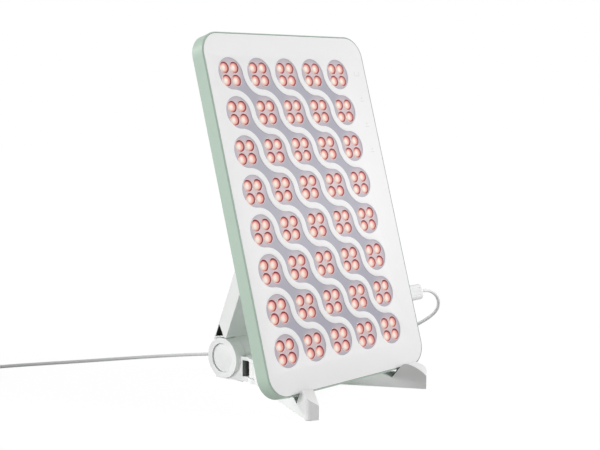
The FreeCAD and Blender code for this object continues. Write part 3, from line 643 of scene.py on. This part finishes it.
def flat_curve(name, outlines, half_depth, bevel, offset=0.0):
    """A filled flat shape with holes, given some thickness and rounded edges, as a mesh in X and Z."""
    curve = bpy.data.curves.new(name, "CURVE")
    curve.dimensions = "2D"
    curve.fill_mode = "BOTH"
    curve.extrude = half_depth
    curve.bevel_depth = bevel
    curve.bevel_resolution = BEVEL_STEPS
    curve.offset = offset
    for outline in outlines:
        spline = curve.splines.new("POLY")
        spline.points.add(len(outline) - 1)
        for point, (x, z) in zip(spline.points, outline):
            point.co = (x, z, 0.0, 1.0)
        spline.use_cyclic_u = True
    holder = link(bpy.data.objects.new(name + "_curve", curve))
    bpy.context.view_layer.update()
    mesh = bpy.data.meshes.new_from_object(holder.evaluated_get(bpy.context.evaluated_depsgraph_get()))
    mesh.name = name
    bpy.data.objects.remove(holder)
    return mesh


WELD = 0.00002


def in_panel(name, mesh, depth):
    """Turn a flat mesh drawn in X and Z into the leaning panel, its middle at a depth behind the face."""
    upright = Matrix(((1, 0, 0, 0), (0, 0, -1, depth), (0, 1, 0, 0), (0, 0, 0, 1)))
    mesh.transform(PANEL @ upright)
    work = bmesh.new()
    work.from_mesh(mesh)
    bmesh.ops.remove_doubles(work, verts=work.verts, dist=WELD)
    bmesh.ops.recalc_face_normals(work, faces=work.faces)
    work.to_mesh(mesh)
    work.free()
    return link(bpy.data.objects.new(name, mesh))


FLAT_SHARE = 0.999
SHARP_ANGLE = math.radians(60)


def smooth_but_flats(obj):
    """Round edges look smooth, while the flat front and back of a panel piece stay flat."""
    facing = (PANEL.to_3x3() @ Vector((0, 1, 0))).normalized()
    for polygon in obj.data.polygons:
        polygon.use_smooth = abs(polygon.normal.dot(facing)) < FLAT_SHARE
    obj.data.set_sharp_from_angle(angle=SHARP_ANGLE)


def chain_starts():
    """Upper left window of each chain: those of the top row, then those down the left column."""
    return [(column, 0) for column in range(COLUMNS)] + [(0, row) for row in range(1, ROWS)]


FACE_LIP = 0.16


def make_face():
    """The white cover with its rounded edges and its chains of windows."""
    width = PANEL_WIDTH - 2 * (FRAME_WALL + SEAL_WIDTH)
    height = PANEL_HEIGHT - 2 * (FRAME_WALL + SEAL_WIDTH)
    radius = PANEL_CORNER - FRAME_WALL - SEAL_WIDTH
    outlines = [rounded_outline(width, height, radius)]
    outlines += [chain_outline(column, row) for column, row in chain_starts()]
    mesh = flat_curve("face_cover", outlines, COVER_THICK / 2 - FACE_LIP, FACE_LIP, -FACE_LIP)
    face = in_panel("face_cover", mesh, COVER_THICK / 2)
    smooth_but_flats(face)
    paint(face, MAT["face"])
    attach(face, "panel")
    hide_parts("front_cover")


DOME_STEPS = 9
DOME_SIDES = 24
DOME_SHIFT = (-0.6, -0.5)

# Lens pattern: where its painted highlight is, in shares of the radius, how it darkens away from there into
# painted shade at the rim, and how far the pattern shifts for each millimetre of a lens's height, as seen
# from the front left

PAINTED_HIGHLIGHT_PLACE = (-0.40, -0.14)
PALE_TURN = math.radians(200)
SIDEWAYS_PER_RISE = 0.75
UPWARDS_PER_RISE = 0.15
PAINTED_HIGHLIGHT_FALL = 0.56
RIM_START = 0.62
RIM_WIDTH = 0.3
RIM_PAINTED_SHADE = 0.5
RIM_SPREAD = 1.7
PALE_LIFT = 0.12

# Collar round a lens: how far its points lie outside the lens, and how high

COLLAR = ((0.02, 0.0), (0.02, 0.2), (0.14, 0.26), (0.3, 0.2), (0.42, 0.0))


def dome_centres():
    """Middles of all lenses, in the panel's upright frame."""
    for column in range(COLUMNS):
        for row in range(ROWS):
            x, z = cluster(column, row)
            for dx in (-0.5, 0.5):
                for dz in (-0.5, 0.5):
                    yield x + dx * DOME_PITCH + DOME_SHIFT[0], z + dz * DOME_PITCH + DOME_SHIFT[1]


def painted_light_of_lens(x, z, high):
    """How dark a spot of a lens is in its painted light: 0 at the painted highlight, where the lit chip
    glows, 1 at the painted shade on the rim away from the pale side.
    """
    seen_x = (x + SIDEWAYS_PER_RISE * high) / DOME_RADIUS
    seen_z = (z + UPWARDS_PER_RISE * high) / DOME_RADIUS
    off = math.hypot(seen_x - PAINTED_HIGHLIGHT_PLACE[0], seen_z - PAINTED_HIGHLIGHT_PLACE[1])
    from_centre = math.hypot(seen_x, seen_z)
    rim = min(1.0, max(0.0, (from_centre - RIM_START) / RIM_WIDTH))
    away = 0.5 - 0.5 * math.cos(math.atan2(seen_z, seen_x) - PALE_TURN)
    dark = off * PAINTED_HIGHLIGHT_FALL + rim * RIM_PAINTED_SHADE * min(1.0, RIM_SPREAD * away)
    return min(1.0, dark - PALE_LIFT * (1 - away) * from_centre)


def round_places(radius):
    """Places on a circle, counted from its middle."""
    turns = [math.tau * side / DOME_SIDES for side in range(DOME_SIDES)]
    return [(radius * math.cos(turn), radius * math.sin(turn)) for turn in turns]


def add_dome(work, layer, x, z):
    """One lens: a smooth crown on a flat foot. Each corner notes how dark the painted highlight and shade
    make the lens there.
    """
    profile = [(DOME_RADIUS, 0.0)]
    for step in range(1, DOME_STEPS):
        turn = math.pi / 2 * step / DOME_STEPS
        profile.append((DOME_RADIUS * math.cos(turn), DOME_HEIGHT * math.sin(turn)))
    rings = []
    for radius, high in profile:
        ring = []
        for dx, dz in round_places(radius):
            vertex = work.verts.new((x + dx, PLATE_DEPTH - high, z + dz))
            vertex[layer] = painted_light_of_lens(dx, dz, high)
            ring.append(vertex)
        rings.append(ring)
    top = work.verts.new((x, PLATE_DEPTH - DOME_HEIGHT, z))
    top[layer] = painted_light_of_lens(0, 0, DOME_HEIGHT)
    for near, far in zip(rings, rings[1:]):
        for side in range(DOME_SIDES):
            after = (side + 1) % DOME_SIDES
            work.faces.new((near[side], far[side], far[after], near[after]))
    for side in range(DOME_SIDES):
        work.faces.new((rings[-1][side], top, rings[-1][(side + 1) % DOME_SIDES]))
    work.faces.new(rings[0])


def add_collar(work, x, z):
    """One ring round the foot of a lens."""
    rings = []
    for outside, high in COLLAR:
        places = round_places(DOME_RADIUS + outside)
        rings.append([work.verts.new((x + dx, PLATE_DEPTH - high, z + dz)) for dx, dz in places])
    for near, far in zip(rings, rings[1:] + rings[:1]):
        for side in range(DOME_SIDES):
            after = (side + 1) % DOME_SIDES
            work.faces.new((near[side], near[after], far[after], far[side]))


def leaning(name, work):
    """Turn a shape drawn in the panel's upright frame into an object in the leaning panel."""
    mesh = bpy.data.meshes.new(name)
    bmesh.ops.transform(work, matrix=PANEL, verts=work.verts)
    bmesh.ops.recalc_face_normals(work, faces=work.faces)
    work.to_mesh(mesh)
    work.free()
    return link(bpy.data.objects.new(name, mesh))


def make_domes():
    """All lenses as one piece."""
    work = bmesh.new()
    # Painted highlight and shade, carried at each corner of the lenses
    layer = work.verts.layers.float.new("painted_lens_shading")
    for x, z in dome_centres():
        add_dome(work, layer, x, z)
    for face in work.faces:
        face.smooth = len(face.verts) < 5
    domes = leaning("lens_dome_set", work)
    paint(domes, MAT["lens"])
    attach(domes, "panel")
    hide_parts("lens_domes")


def make_rings():
    """Thin pale collars round the feet of the lenses."""
    work = bmesh.new()
    for x, z in dome_centres():
        add_collar(work, x, z)
    for face in work.faces:
        face.smooth = True
    collars = leaning("lens_collars", work)
    paint(collars, MAT["ring"])
    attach(collars, "panel")


PLATE_MARGIN = 2.6
PLATE_THICK = 2.0
PLATE_CELLS = 90
# How far the painted light of the lenses reaches across the plate
PAINTED_GLOW_REACH = 15.0


def painted_glow_share(x, z):
    """0 in the middle of a cluster of lenses, 1 where their painted light no longer tints the plate."""
    column = round((x - FIELD[0]) / PITCH + (COLUMNS - 1) / 2)
    row = round((ROWS - 1) / 2 - (z - FIELD[1]) / PITCH)
    middle = cluster(min(max(column, 0), COLUMNS - 1), min(max(row, 0), ROWS - 1))
    return min(1.0, math.hypot(x - middle[0], z - middle[1]) / PAINTED_GLOW_REACH)


def make_plate():
    """The plate behind the windows, its front just under the cover's, cut into cells that carry the painted
    light of the lenses.
    """
    half_x = (COLUMNS - 1) * PITCH / 2 + WINDOW_RADIUS + PLATE_MARGIN
    half_z = (ROWS - 1) * PITCH / 2 + WINDOW_RADIUS + PLATE_MARGIN
    work = bmesh.new()
    layer = work.verts.layers.float.new("painted_glow_share")
    bmesh.ops.create_cube(work, size=1.0)
    for vertex in work.verts:
        vertex.co.x = FIELD[0] + 2 * half_x * vertex.co.x
        vertex.co.y = PLATE_DEPTH + PLATE_THICK / 2 + PLATE_THICK * vertex.co.y
        vertex.co.z = FIELD[1] + 2 * half_z * vertex.co.z
    front = [edge for edge in work.edges if all(vertex.co.y < PLATE_DEPTH + 0.1 for vertex in edge.verts)]
    bmesh.ops.subdivide_edges(work, edges=front, cuts=PLATE_CELLS, use_grid_fill=True)
    for vertex in work.verts:
        vertex[layer] = painted_glow_share(vertex.co.x, vertex.co.z)
    plate = leaning("pocket_plate", work)
    paint(plate, MAT["plate"])
    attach(plate, "panel")
    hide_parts("lens_plate")


MARK_STROKE = 0.55
MARK_WIDE = 6.4
MARK_TALL = 4.0
MARK_DOT = 1.5
MARK_HIGH = 0.02
MARK_GAP = 1.2
MARK_STEPS = 4
DOT_STEPS = 6


def make_marks():
    """Faint touch marks on the right margin: an open bracket above, then bars with a dot over each."""
    end = MARK_STROKE / 2
    shapes = []
    for side in (-1, 1):
        place = (KEY_X + side * MARK_WIDE / 2, KEY_Z[0])
        shapes.append(rounded_outline(MARK_STROKE, MARK_TALL, end, MARK_STEPS, place))
    for z in KEY_Z:
        place = (KEY_X, z - MARK_TALL / 2)
        shapes.append(rounded_outline(MARK_WIDE - MARK_GAP, MARK_STROKE, end, MARK_STEPS, place))
    for z in KEY_Z[1:]:
        place = (KEY_X, z + MARK_DOT / 2)
        shapes.append(rounded_outline(MARK_DOT, MARK_DOT, MARK_DOT / 2, DOT_STEPS, place))
    marks = in_panel("touch_marks", flat_curve("touch_marks", shapes, MARK_HIGH, 0.0), 0.0)
    paint(marks, MAT["mark"])
    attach(marks, "panel")


make_face()
make_marks()
make_plate()
make_domes()
make_rings()


# Softer edges on the moulded pieces, in millimetres

SOFT_EDGES = {
    "leg_left": 0.6, "leg_right": 0.6, "hub_lower": 0.5, "hub_upper": 0.4, "support_arm": 0.6,
    "arm_cover": 0.3, "power_plug": 0.25, "far_plug": 0.25, "back_cover": 0.3,
}

for name, width in SOFT_EDGES.items():
    soften(name, width)


# Floor, background and light

FLOOR_HALF = 4.0
FLOOR_GREY = (0.56, 0.56, 0.56, 1.0)
FLOOR_SEEN = 1.07
FLOOR_SEEN_SHARE = 0.9
WHITE_LIGHT = (1, 1, 1, 1)
FILL_LIGHT = 0.34
BACKGROUND_SEEN = 1.0


def seen_directly(tree):
    """1 for rays from the camera and for mirrored rays, 0 for the rays that light the object."""
    path = tree.nodes.new("ShaderNodeLightPath")
    return math_of(tree, "MAXIMUM", path.outputs["Is Camera Ray"], path.outputs["Is Glossy Ray"])


def stage_material():
    """A floor that lights the object as a grey one does and is seen nearly white."""
    material = bpy.data.materials.new("stage_white")
    material.use_nodes = True
    tree = material.node_tree
    tree.nodes.clear()
    output = tree.nodes.new("ShaderNodeOutputMaterial")
    matt = tree.nodes.new("ShaderNodeBsdfDiffuse")
    matt.inputs["Color"].default_value = FLOOR_GREY
    plain = tree.nodes.new("ShaderNodeEmission")
    plain.inputs["Strength"].default_value = FLOOR_SEEN
    mix = tree.nodes.new("ShaderNodeMixShader")
    tree.links.new(math_of(tree, "MULTIPLY", seen_directly(tree), FLOOR_SEEN_SHARE), mix.inputs[0])
    tree.links.new(matt.outputs[0], mix.inputs[1])
    tree.links.new(plain.outputs[0], mix.inputs[2])
    tree.links.new(mix.outputs[0], output.inputs["Surface"])
    return material


def make_floor():
    """A wide flat floor under the object."""
    mesh = bpy.data.meshes.new("stage_floor")
    corners = [(x * FLOOR_HALF, y * FLOOR_HALF, 0) for x, y in ((-1, -1), (1, -1), (1, 1), (-1, 1))]
    mesh.from_pydata(corners, [], [(0, 1, 2, 3)])
    floor = link(bpy.data.objects.new("stage_floor", mesh))
    paint(floor, stage_material())


def backdrop(tree, strength):
    """A plain white background of one strength."""
    node = tree.nodes.new("ShaderNodeBackground")
    node.inputs["Strength"].default_value = strength
    node.inputs["Color"].default_value = WHITE_LIGHT
    return node.outputs[0]


def make_world():
    """Dim light from all sides, in front of a background that is seen white."""
    world = bpy.data.worlds.new("studio")
    scene.world = world
    world.use_nodes = True
    tree = world.node_tree
    tree.nodes.clear()
    output = tree.nodes.new("ShaderNodeOutputWorld")
    mix = tree.nodes.new("ShaderNodeMixShader")
    tree.links.new(seen_directly(tree), mix.inputs[0])
    tree.links.new(backdrop(tree, FILL_LIGHT), mix.inputs[1])
    tree.links.new(backdrop(tree, BACKGROUND_SEEN), mix.inputs[2])
    tree.links.new(mix.outputs[0], output.inputs["Surface"])


SPOT_SOFT_EDGE = 0.6
SPOT_SIZE = 0.03


def lamp_of(name, kind, power):
    """A lamp of one kind, still at the origin. Returns the object and its light."""
    data = bpy.data.lights.new(name, kind)
    data.energy = power
    return link(bpy.data.objects.new(name, data)), data


def aim(lamp, place, target):
    """Put a lamp in its place and turn it to its target."""
    lamp.location = place
    lamp.rotation_euler = (Vector(place) - Vector(target)).to_track_quat("Z", "Y").to_euler()


def sun(name, towards, strength, spread):
    """A soft distant light that comes from a direction."""
    lamp, data = lamp_of(name, "SUN", strength)
    data.angle = math.radians(spread)
    lamp.rotation_euler = Vector(towards).to_track_quat("Z", "Y").to_euler()


def near_lamp(name, place, target, power, width):
    """A soft lamp near the object, so that its light falls off across the face."""
    lamp, data = lamp_of(name, "AREA", power)
    data.size = width
    aim(lamp, place, target)


def spot(name, place, target, power, cone):
    """A narrow soft-edged lamp for one shaded side of the stand."""
    lamp, data = lamp_of(name, "SPOT", power)
    data.spot_size = math.radians(cone)
    data.spot_blend = SPOT_SOFT_EDGE
    data.shadow_soft_size = SPOT_SIZE
    aim(lamp, place, target)


make_floor()
make_world()
sun("light_front", (0.45, -0.75, 0.50), 1.58, 25)
sun("light_left_rear", (-0.422, 0.831, 0.362), 0.8, 5)
sun("light_left", (-0.853, 0.492, 0.174), 1.45, 16)
near_lamp("light_right_near", (0.23, -0.24, 0.245), (0.06, -0.03, 0.16), 0.16, 0.12)
spot("light_hub", (-0.50, -0.02, 0.22), (-0.022, 0.040, 0.022), 2.6, 5.4)

scene.view_settings.view_transform = "Standard"
